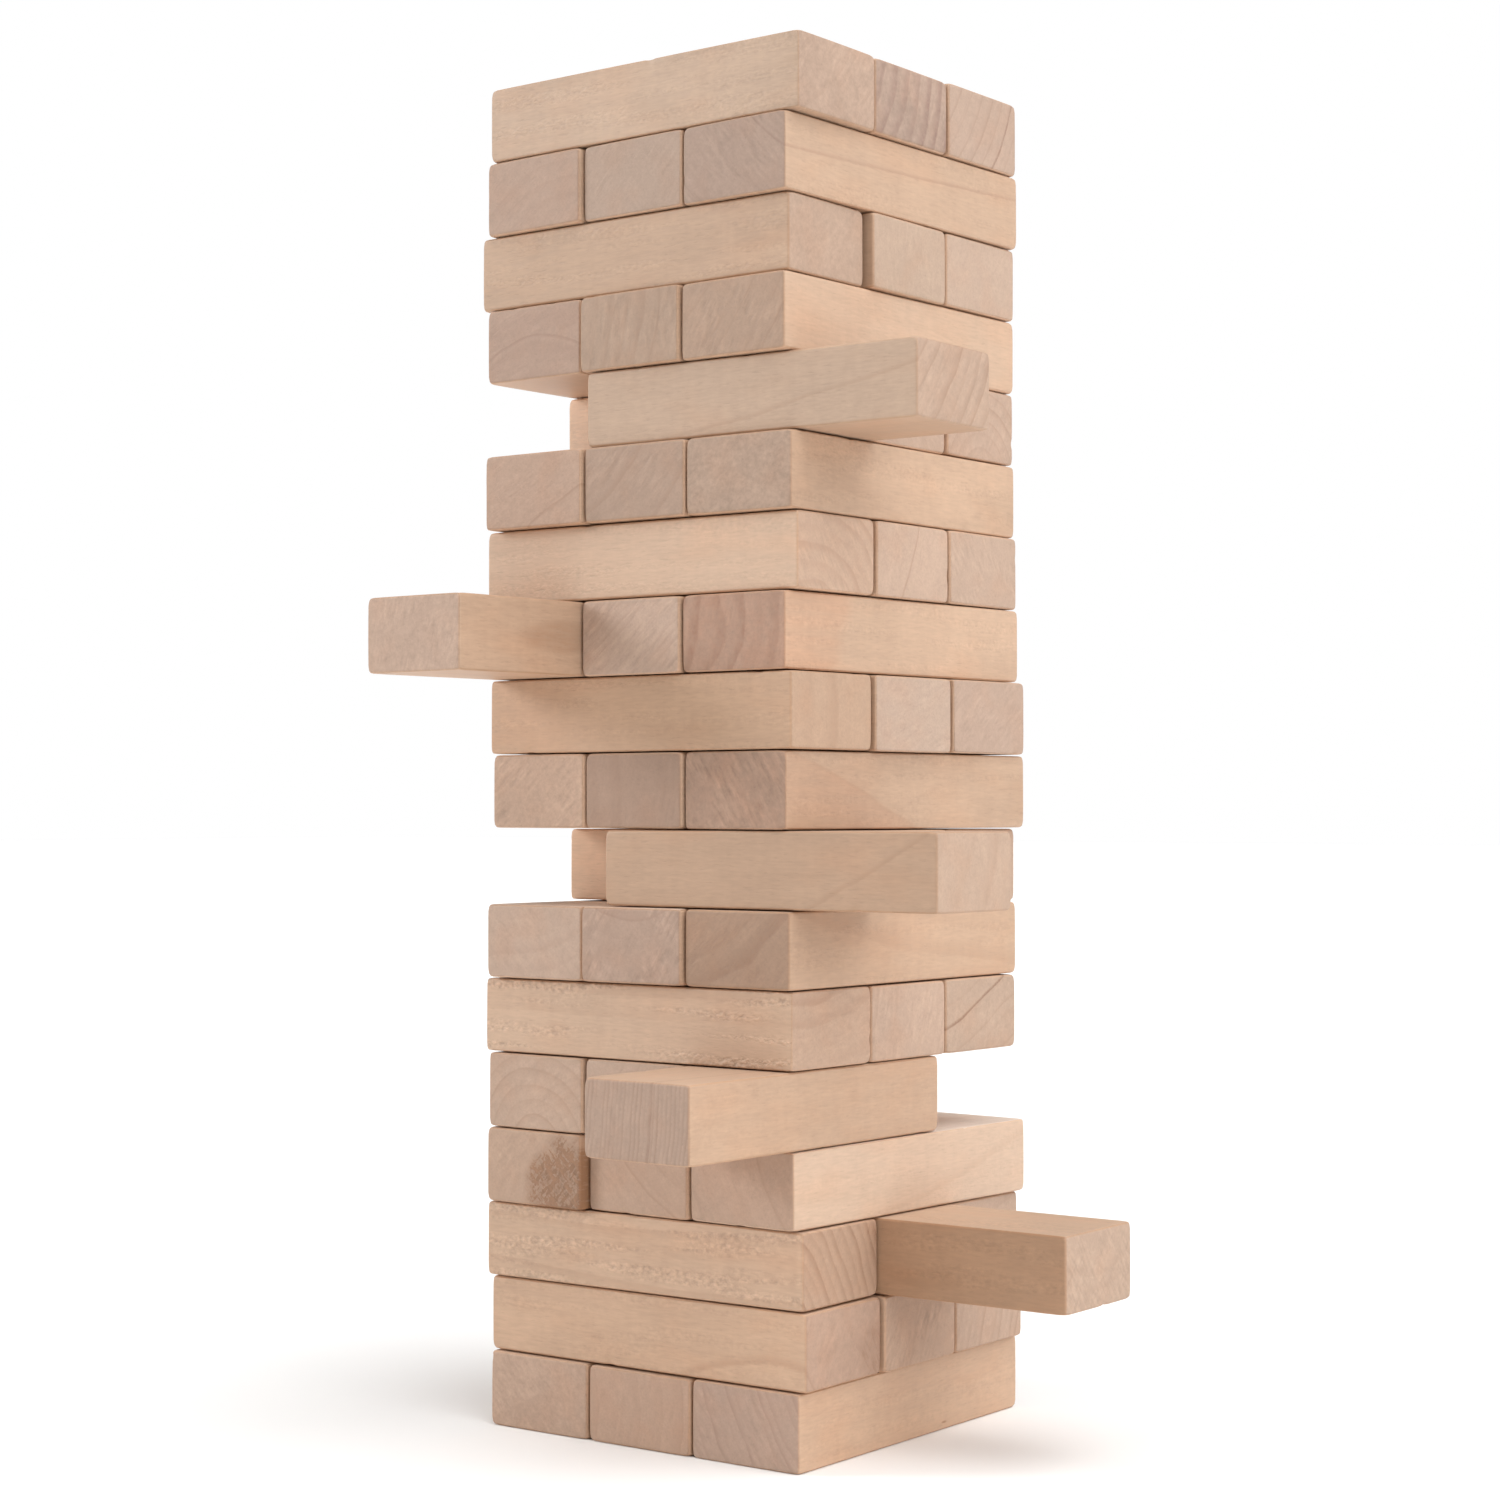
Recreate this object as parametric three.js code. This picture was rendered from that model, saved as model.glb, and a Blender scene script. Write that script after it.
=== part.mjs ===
// Giant tumbling tower: loose pine blocks stacked three to a course. Five of them have been
// pushed part of the way out, as they are in play.
// Millimetres, +Z up. The origin is on the ground, on the tower's centre line.

import * as THREE from 'three';

// ---- Driving dimensions ---------------------------------------------------------------

const BLOCK_LENGTH = 182;
const BLOCK_WIDTH = 59;
const BLOCK_HEIGHT = 34.7;
const SIDE_GAP = 0.5; // between the blocks of one course
const COURSE_GAP = 0.3; // between one course and the next
const LONG_EDGE_RADIUS = 1.2; // sanded edges along the block
const END_EDGE_RADIUS = 0.8; // sanded edges round each end

const LANE_PITCH = BLOCK_WIDTH + SIDE_GAP;
const COURSE_PITCH = BLOCK_HEIGHT + COURSE_GAP;

const LONG_EDGE_SEGMENTS = 1; // a quarter arc is drawn with twice as many straight lines
const END_EDGE_SEGMENTS = 2;

// ---- How the courses lie --------------------------------------------------------------

// The courses from the ground up.
//   run     the axis that the course's blocks lie along
//   along   how far each block has moved along that axis, in the order of LANES
//   across  how far the whole course sits to the side, along the other axis
//   turn    the course's twist about +Z, in degrees
const COURSES = [
  { run: 'Y', along: [4.5, 4.5, 5], across: -2.5, turn: 1.3 },
  { run: 'X', along: [-1.5, 0, 0.5], across: 4, turn: 1.4 },
  { run: 'X', along: [-3.5, 93, -1], across: 3, turn: 1.9 },
  { run: 'Y', along: [-1, 4.5, 6], across: 0, turn: -0.9 },
  { run: 'Y', along: [-0.5, 1, -67], across: 0.5, turn: -0.6 },
  { run: 'X', along: [-0.5, -1, -1], across: -1, turn: -0.5 },
  { run: 'Y', along: [-2.5, -3.5, -1.5], across: 1, turn: 0 },
  { run: 'X', along: [73, 1, 0], across: -2, turn: 0.6 },
  { run: 'Y', along: [1, 1.5, 3], across: 1.5, turn: -2.2 },
  { run: 'X', along: [1, 2.5, 3.5], across: 0, turn: -1.4 },
  { run: 'Y', along: [-79, -0.5, 1], across: 0, turn: -1.3 },
  { run: 'X', along: [-1, 0, 0.5], across: 0, turn: 0.7 },
  { run: 'Y', along: [-4, -2.5, -2], across: 1, turn: 0.5 },
  { run: 'X', along: [59.5, -1.5, -1], across: -0.5, turn: 1.5 },
  { run: 'Y', along: [0, -1, 0.5], across: -1.5, turn: -0.7 },
  { run: 'X', along: [-5, -1.5, -1.5], across: 0.5, turn: 0.2 },
  { run: 'Y', along: [-1.5, 0.5, 1], across: 0, turn: -1.2 },
  { run: 'X', along: [1, 0.5, 1], across: -1, turn: 0.5 },
];

// The blocks of a course, from the low end of the axis across them to its high end.
const LANES = { X: ['front', 'middle', 'back'], Y: ['left', 'middle', 'right'] };

// ---- Pine -----------------------------------------------------------------------------

const PINE_TINTS = [0xdcbd9c, 0xd6b592, 0xe0c4a6, 0xd3b190, 0xdabb9d];
const PINE_ROUGHNESS = 0.78;

// Neighbouring blocks come from different boards, so their tints differ.
function pineMaterial(blockIndex) {
  const tint = PINE_TINTS[(blockIndex * 3) % PINE_TINTS.length];
  return new THREE.MeshStandardMaterial({
    color: tint,
    roughness: PINE_ROUGHNESS,
    metalness: 0,
  });
}

// ---- One block ------------------------------------------------------------------------

// The block's cross-section, centred on the origin: a rectangle with rounded corners.
function crossSection() {
  const halfWidth = BLOCK_WIDTH / 2;
  const halfHeight = BLOCK_HEIGHT / 2;
  const arcX = halfWidth - LONG_EDGE_RADIUS;
  const arcY = halfHeight - LONG_EDGE_RADIUS;
  const quarter = Math.PI / 2;
  const shape = new THREE.Shape();
  shape.absarc(arcX, arcY, LONG_EDGE_RADIUS, 0, quarter);
  shape.absarc(-arcX, arcY, LONG_EDGE_RADIUS, quarter, 2 * quarter);
  shape.absarc(-arcX, -arcY, LONG_EDGE_RADIUS, 2 * quarter, 3 * quarter);
  shape.absarc(arcX, -arcY, LONG_EDGE_RADIUS, 3 * quarter, 4 * quarter);
  shape.closePath();
  return shape;
}

// A block centred on the origin with its length along X, its width along Y and its height
// along Z. The bevel rounds the edges of both ends inward, so the length stays exact.
function blockGeometry() {
  const geometry = new THREE.ExtrudeGeometry(crossSection(), {
    depth: BLOCK_LENGTH - 2 * END_EDGE_RADIUS,
    steps: 1,
    curveSegments: LONG_EDGE_SEGMENTS,
    bevelEnabled: true,
    bevelThickness: END_EDGE_RADIUS,
    bevelSize: END_EDGE_RADIUS,
    bevelOffset: -END_EDGE_RADIUS,
    bevelSegments: END_EDGE_SEGMENTS,
  });
  geometry.center();
  const xAxis = new THREE.Vector3(1, 0, 0);
  const yAxis = new THREE.Vector3(0, 1, 0);
  const zAxis = new THREE.Vector3(0, 0, 1);
  geometry.applyMatrix4(new THREE.Matrix4().makeBasis(yAxis, zAxis, xAxis));
  return geometry;
}

// ---- The tower ------------------------------------------------------------------------

// A group holding one course: its own frame has the blocks along X and the lanes along Y.
function makeCourse(course, courseIndex, geometry) {
  const alongY = course.run === 'Y';
  const group = new THREE.Group();
  group.position.set(
    alongY ? course.across : 0,
    alongY ? 0 : course.across,
    BLOCK_HEIGHT / 2 + courseIndex * COURSE_PITCH,
  );
  group.rotation.z = THREE.MathUtils.degToRad(course.turn + (alongY ? 90 : 0));

  // Turned a quarter, the group's own +Y points along -X, so its lanes run the other way.
  const laneDirection = alongY ? -1 : 1;
  const courseNumber = String(courseIndex + 1).padStart(2, '0');
  LANES[course.run].forEach((laneName, lane) => {
    const block = new THREE.Mesh(geometry, pineMaterial(courseIndex * 3 + lane));
    block.name = `course_${courseNumber}_${laneName}`;
    block.position.set(course.along[lane], laneDirection * (lane - 1) * LANE_PITCH, 0);
    group.add(block);
  });
  return group;
}

const tower = new THREE.Group();
const sharedBlock = blockGeometry();
COURSES.forEach((course, courseIndex) => {
  tower.add(makeCourse(course, courseIndex, sharedBlock));
});

export default tower;
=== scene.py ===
"""The looks of the giant tumbling tower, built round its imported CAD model.

Every CAD block is replaced by a detailed block of unfinished pine: eased and worn edges, small
dents, growth rings that run through from the ends to the sides, and saw marks on the ends.
Lengths are in metres, except where a name or a comment says mm.
"""

import itertools
import math

import bpy
import numpy as np
from mathutils import Matrix, Vector


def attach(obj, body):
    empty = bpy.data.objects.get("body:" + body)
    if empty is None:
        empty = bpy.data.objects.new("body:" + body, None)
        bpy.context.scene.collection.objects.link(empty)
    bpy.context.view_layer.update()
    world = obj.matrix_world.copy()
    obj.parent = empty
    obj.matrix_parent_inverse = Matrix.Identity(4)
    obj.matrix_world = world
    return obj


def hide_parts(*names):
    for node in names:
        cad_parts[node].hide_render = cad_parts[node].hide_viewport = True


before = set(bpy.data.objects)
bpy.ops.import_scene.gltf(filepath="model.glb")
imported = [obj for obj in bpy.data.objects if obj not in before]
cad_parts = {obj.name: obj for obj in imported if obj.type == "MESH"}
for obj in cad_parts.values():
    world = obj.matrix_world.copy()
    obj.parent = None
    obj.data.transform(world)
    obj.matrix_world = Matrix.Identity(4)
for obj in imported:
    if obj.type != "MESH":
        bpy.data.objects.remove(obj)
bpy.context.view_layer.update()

MM = 0.001

# ---- The camera and the studio ----------------------------------------------------------

CAMERA_AZIMUTH = 37.7  # degrees round the tower from -Y towards +X
CAMERA_DISTANCE = 1.378
CAMERA_HEIGHT = 0.289
CAMERA_PITCH = 1.176  # degrees upwards
CAMERA_ASIDE = 0.0028  # how far left of the tower's centre line the camera aims
CAMERA_LENS_MM = 69.24
CAMERA_SENSOR_MM = 36

# The lights: where each comes from, how bright it makes a white surface that faces it, and how
# many degrees of sky it spans, which is how soft its shadows are.
DOME_LIGHT = 0.18
LIGHTS = {
    "left_key": dict(azimuth=-57, elevation=21, strength=0.55, softness=22),
    "right_key": dict(azimuth=98, elevation=44, strength=0.58, softness=80),
    "right_fill": dict(azimuth=105, elevation=22, strength=0.38, softness=110),
    "top": dict(azimuth=45, elevation=80, strength=0.45, softness=60),
}
WHITE = (1, 1, 1, 1)
FLOOR_COLOUR = (0.92, 0.92, 0.915, 1)
FLOOR_ROUGHNESS = 0.9
FLOOR_SPECULAR = 0.1
FLOOR_HALF = 20.0
FLOOR_DROP = 0.0002  # keeps the floor just clear of the blocks that stand on it


def add_camera():
    """The camera, which looks level across the tower with a slight upward pitch."""
    azimuth = math.radians(CAMERA_AZIMUTH)
    pitch = math.radians(CAMERA_PITCH)
    ahead = Vector((-math.sin(azimuth), math.cos(azimuth), 0))
    right = Vector((math.cos(azimuth), math.sin(azimuth), 0))
    place = Vector((0, 0, CAMERA_HEIGHT)) - ahead * CAMERA_DISTANCE
    level = (ahead * CAMERA_DISTANCE - right * CAMERA_ASIDE).normalized()
    aim = level * math.cos(pitch) + Vector((0, 0, math.sin(pitch)))
    data = bpy.data.cameras.new("camera")
    data.lens = CAMERA_LENS_MM
    data.sensor_width = CAMERA_SENSOR_MM
    camera = bpy.data.objects.new("camera", data)
    camera.location = place
    camera.rotation_euler = aim.to_track_quat("-Z", "Y").to_euler()
    bpy.context.scene.collection.objects.link(camera)
    bpy.context.scene.camera = camera


def add_light(name, azimuth, elevation, strength, softness):
    """A far, soft light."""
    turn = math.radians(azimuth)
    rise = math.radians(elevation)
    back = Vector((
        math.sin(turn) * math.cos(rise),
        -math.cos(turn) * math.cos(rise),
        math.sin(rise),
    ))
    data = bpy.data.lights.new(name, "SUN")
    data.energy = strength * math.pi
    data.angle = math.radians(softness)
    light = bpy.data.objects.new(name, data)
    light.rotation_euler = back.to_track_quat("Z", "Y").to_euler()
    bpy.context.scene.collection.objects.link(light)


def add_dome():
    """Even light from all round, and a white backdrop where the camera sees past the floor."""
    world = bpy.data.worlds.new("studio")
    world.use_nodes = True
    tree = world.node_tree
    tree.nodes.clear()
    around = tree.nodes.new("ShaderNodeBackground")
    around.inputs["Color"].default_value = WHITE
    around.inputs["Strength"].default_value = DOME_LIGHT
    backdrop = tree.nodes.new("ShaderNodeBackground")
    backdrop.inputs["Color"].default_value = WHITE
    path = tree.nodes.new("ShaderNodeLightPath")
    chosen = tree.nodes.new("ShaderNodeMixShader")
    output = tree.nodes.new("ShaderNodeOutputWorld")
    tree.links.new(path.outputs["Is Camera Ray"], chosen.inputs[0])
    tree.links.new(around.outputs[0], chosen.inputs[1])
    tree.links.new(backdrop.outputs[0], chosen.inputs[2])
    tree.links.new(chosen.outputs[0], output.inputs["Surface"])
    bpy.context.scene.world = world
    bpy.context.scene.view_settings.view_transform = "Standard"


def add_floor():
    """A plain pale floor."""
    corners = [(x * FLOOR_HALF, y * FLOOR_HALF, -FLOOR_DROP)
               for x, y in ((-1, -1), (1, -1), (1, 1), (-1, 1))]
    mesh = bpy.data.meshes.new("floor")
    mesh.from_pydata(corners, [], [(0, 1, 2, 3)])
    floor = bpy.data.objects.new("floor", mesh)
    bpy.context.scene.collection.objects.link(floor)
    material = bpy.data.materials.new("floor_paint")
    material.use_nodes = True
    shader = material.node_tree.nodes["Principled BSDF"]
    shader.inputs["Base Color"].default_value = FLOOR_COLOUR
    shader.inputs["Roughness"].default_value = FLOOR_ROUGHNESS
    shader.inputs["Specular IOR Level"].default_value = FLOOR_SPECULAR
    mesh.materials.append(material)


# ---- The pine ---------------------------------------------------------------------------

# Wood is described in its grain frame, in mm: u to the right and v upwards on the end that
# faces the front or the right of the tower, w from that end into the block.

SIDE_TONE = (0.537, 0.366, 0.254)  # planed long grain
END_TONE = (0.444, 0.309, 0.230)  # sawn end grain, greyer

# What a detail multiplies the wood's colour by at its full strength.
RING_TINT = (0.66, 0.56, 0.50)
GREY_RING_TINT = (0.70, 0.62, 0.64)  # a ring in greyer, pinker wood
STAIN_TINT = (0.62, 0.50, 0.40)  # a stain or a knot
BLUSH_TINT = (1.01, 0.965, 0.935)  # pinker clouds
HEART_TINT = (0.99, 0.90, 0.86)  # pinker wood inside the marked ring
EDGE_WARMTH_AND_GAP_SHADE_TINT = (1.04, 0.92, 0.81)  # painted shade of the gaps on every rounded edge, partly the side grain's warmer colour
TOP_LIGHT_PAINT_TINT = (1.3, 1.5, 1.75)  # painted light: upper sides lighter and paler, as the lamps light them
UNDER_LIGHT_PAINT_TINT = (1.14, 1.11, 1.08)  # painted light: undersides paler, as light from the floor reaches them

# What one step of warm, mauve or rosy adds to red, green and blue.
WARM_STEP = np.array((0.01, -0.025, -0.06))
MAUVE_STEP = np.array((-0.04, -0.015, 0.03))
ROSY_STEP = np.array((0.03, 0.0, -0.015))

# Noise: how many waves there are in a mm of u, v and w, and how much finer detail it has.
FINE = dict(scale=(0.9, 0.9, 0.14), detail=4.0)  # fibres
STREAK = dict(scale=(0.22, 0.22, 0.014), detail=3.0)  # long streaks along the grain
RIPPLE = dict(scale=(0.02, 0.05, 0.22), detail=2.0)  # faint planing ripples across the grain
SPECKLE = dict(scale=(0.42, 0.42, 0.16), detail=2.0)
CLOUD = dict(scale=(0.045, 0.045, 0.02), detail=2.0)
FLECK = dict(scale=(1.1, 1.1, 0.2), detail=1.0)  # small dark pores
STRAY = dict(scale=(0.02, 0.02, 0.006), detail=2.0)  # how the rings stray
TORN_ROWS = dict(scale=(0.10, 0.16, 0.012), detail=1.0)
TORN_BITS = dict(scale=(0.6, 0.6, 0.45), detail=2.0)
SAW_WEAR = dict(scale=(0.07, 0.07, 0.07), detail=2.0)  # where the saw marks are faint
SAW_DASHES = dict(scale=(0.45, 0.11, 0.0), detail=3.0)  # across the marks, along them, inwards

# Where a smooth step starts and ends: between the first number of a pair and the second, or for
# three numbers, up from the first to the second and down again to the third.
FLECK_STEP = (0.12, 0.25)  # of FLECK noise
TORN_STEP = (-0.06, 0.12)  # of TORN_ROWS noise
SAW_WEAR_STEP = (-0.16, 0.12)  # of SAW_WEAR noise
SAW_GRID_STEP = (0.0, 0.14)  # of SAW_DASHES noise
BLUSH_STEP = (-0.05, 0.25)  # of CLOUD noise
RING_BAND = (0.25, 0.85, 1.0)  # the way through a ring, outwards from 0 to 1
RING_LINE = (0.0, 0.6, 1.9)  # mm inwards from a ring's outer edge
MARK_LINE = (-1.7, -0.2, 0.5)  # mm outwards from the marked ring
MARK_INSIDE = (-1.5, 1.0)  # the same
STAIN_STEP = (0.65, 1.1)  # stain sizes from its middle
LEVEL_STEP = (0.8, 1.0)  # the upright part of the surface's normal

# How much one detail disturbs another.
WANDER = 4.0  # most STRAY noise is within a quarter each way, so this brings it up to about 1
RING_FRAY = 0.9  # mm that the fibres fray the rings
RING_PATCHES = 1.6
HEART_STREAKS = 1.5
STAIN_LENGTH = 4.0  # how much longer than wide a stain is
STAIN_RAGGED = 0.6
STAIN_STREAKS = 2.5
CROSS_IN_STAIN = 2.0
CROSS_ELSEWHERE = 0.5
STAIN_ON_MARKS = 0.9
STAIN_BETWEEN_MARKS = -0.5
EDGE_WARMTH_AND_GAP_SHADE_STRENGTH = 0.7
MOST_BOW = 1.2  # spans into the block beyond which a bowed heart sinks no further

# How much each detail brightens the wood, for each 1 of its value. Noise is within 0.5 of 0.
FINE_SHADE = 0.28
STREAK_SHADE = 0.14
SIDE_SPECKLE_SHADE = 0.15
END_SPECKLE_SHADE = 0.7  # added to it on the ends
CLOUD_SHADE = 0.8
RIPPLE_SHADE = 0.10
FLECK_SHADE = -0.07
FUZZ_SHADE = 1.1
SAW_SHADE = 0.42

# Roughness: sawn ends are duller, edges are polished by hands.
ROUGHNESS = 0.55
END_ROUGHNESS = 0.08
FINE_ROUGHNESS = 0.30
EDGE_ROUGHNESS = -0.08
SPECULAR = 0.45

# How many mm each detail stands proud, for each 1 of its value.
FINE_RELIEF = 0.06
RING_RELIEF = -0.05
FLECK_RELIEF = -0.03
FUZZ_RELIEF = 1.0
SAW_RELIEF = 0.35

BOW_SPAN = 50.0  # mm of w in which a bowed heart sinks by its bow
TOP_LIGHT_PAINT_AMOUNT = 0.25  # how much painted light most upper sides get


class Graph:
    """Short names for the shader nodes that the pine is made of. Most return a socket."""

    def __init__(self, tree):
        self.tree = tree

    def add(self, kind, values=(), **settings):
        """A node, with its first inputs set or linked to the values."""
        node = self.tree.nodes.new(kind)
        for key, value in settings.items():
            setattr(node, key, value)
        for socket, value in zip(node.inputs, values):
            self.put(socket, value)
        return node

    def put(self, socket, value):
        """Links or sets an input."""
        if isinstance(value, bpy.types.NodeSocket):
            self.tree.links.new(value, socket)
        else:
            socket.default_value = value

    def math(self, operation, a, b=0.0, c=0.0):
        return self.add("ShaderNodeMath", (a, b, c), operation=operation).outputs[0]

    def weighted(self, value, weight, rest):
        """The value times its weight, plus the rest."""
        return self.math("MULTIPLY_ADD", value, weight, rest)

    def inverse(self, value):
        """1 less the value."""
        return self.math("SUBTRACT", 1.0, value)

    def product(self, *values):
        total = values[0]
        for value in values[1:]:
            total = self.math("MULTIPLY", total, value)
        return total

    def vector(self, operation, a, b=(0, 0, 0)):
        node = self.add("ShaderNodeVectorMath", (a, b), operation=operation)
        return node.outputs["Value" if operation == "LENGTH" else "Vector"]

    def scaled(self, vector, factor):
        node = self.add("ShaderNodeVectorMath", (vector,), operation="SCALE")
        self.put(node.inputs["Scale"], factor)
        return node.outputs["Vector"]

    def joined(self, x, y, z):
        return self.add("ShaderNodeCombineXYZ", (x, y, z)).outputs[0]

    def split(self, vector):
        return self.add("ShaderNodeSeparateXYZ", (vector,)).outputs

    def attribute(self, name, output="Fac"):
        return self.add("ShaderNodeAttribute", attribute_name=name).outputs[output]

    def noise(self, point, seed, scale, detail):
        """Noise over point * scale: its value less a half, and its colour less a half."""
        place = self.vector("ADD", self.vector("MULTIPLY", point, scale), seed)
        node = self.add("ShaderNodeTexNoise", (place,))
        node.inputs["Scale"].default_value = 1.0
        node.inputs["Detail"].default_value = detail
        value = self.math("SUBTRACT", node.outputs[0], 0.5)
        return value, self.vector("SUBTRACT", node.outputs["Color"], (0.5, 0.5, 0.5))

    def ease(self, value, low, high):
        """0 below low, 1 above high and a smooth step between them."""
        node = self.add("ShaderNodeMapRange", interpolation_type="SMOOTHSTEP")
        self.put(node.inputs["Value"], value)
        self.put(node.inputs["From Min"], low)
        self.put(node.inputs["From Max"], high)
        return node.outputs["Result"]

    def hump(self, value, low, top, high):
        """0 below low and above high, and 1 at the top between them."""
        return self.product(self.ease(value, low, top), self.inverse(self.ease(value, top, high)))

    def mixed(self, a, b, amount, **settings):
        """Colour a where the amount is 0 and b where it is 1, or blended as the settings say."""
        node = self.add("ShaderNodeMix", data_type="RGBA", **settings)
        self.put(node.inputs["Factor"], amount)
        self.put(node.inputs[6], a)
        self.put(node.inputs[7], b)
        return node.outputs[2]

    def tinted(self, colour, tint, amount):
        """The colour, multiplied by the tint as far as the amount says."""
        if isinstance(tint, tuple):
            tint = (*tint, 1)
        return self.mixed(colour, tint, amount, blend_type="MULTIPLY")


PINE_INPUTS = {
    "Seed": ("NodeSocketVector", (0, 0, 0)),
    "Pith": ("NodeSocketVector", (-100, 0, 0)),  # mm, where the log's heart is at w = 0
    "Lean": ("NodeSocketVector", (0, 0, 0)),  # how far the heart moves for each mm of w
    "Bow": ("NodeSocketFloat", 0.0),  # mm that the heart sinks in BOW_SPAN, in an arch
    "Bow Place": ("NodeSocketFloat", 0.0),  # the w at the top of that arch
    "Ring": ("NodeSocketFloat", 6.0),  # mm from one growth ring to the next
    "Phase": ("NodeSocketFloat", 0.0),
    "Bands": ("NodeSocketFloat", 0.05),  # strength of the soft dark bands
    "Lines": ("NodeSocketFloat", 0.05),  # strength of the thin dark lines
    "Spread": ("NodeSocketFloat", 1.5),  # higher leaves only a few rings dark
    "Figure": ("NodeSocketFloat", 0.4),  # how strongly the rings show on the sides
    "Mark Radius": ("NodeSocketFloat", 100.0),  # mm from the heart to one marked ring
    "Mark": ("NodeSocketFloat", 0.0),  # strength of the marked ring's line
    "Heartwood": ("NodeSocketFloat", 0.0),  # strength of the pinker wood inside it
    "Top Light Paint": ("NodeSocketFloat", TOP_LIGHT_PAINT_AMOUNT),  # how much painted light the upper side gets
    "Wander": ("NodeSocketFloat", 2.0),  # mm that the rings stray
    "Mottle": ("NodeSocketFloat", 0.12),  # strength of the clouds and speckles
    "Fuzz": ("NodeSocketFloat", 0.0),  # rows of torn, fuzzy grain
    "Stain": ("NodeSocketFloat", 0.0),  # strength of one stain or knot
    "Stain Place": ("NodeSocketVector", (0, 0, 0)),
    "Stain Size": ("NodeSocketFloat", 10.0),  # mm from its middle to its edge
    "Saw Angle": ("NodeSocketFloat", 0.8),  # radians
    "Saw": ("NodeSocketFloat", 0.4),  # strength of the saw marks
    "Cross": ("NodeSocketFloat", 0.0),  # strength of marks that cross them
    "Ring Tint": ("NodeSocketColor", (*RING_TINT, 1)),
    "Side Tone": ("NodeSocketColor", (*SIDE_TONE, 1)),
    "End Tone": ("NodeSocketColor", (*END_TONE, 1)),
}
PINE_OUTPUTS = {
    "Color": "NodeSocketColor",
    "Roughness": "NodeSocketFloat",
    "Normal": "NodeSocketVector",
}


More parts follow.
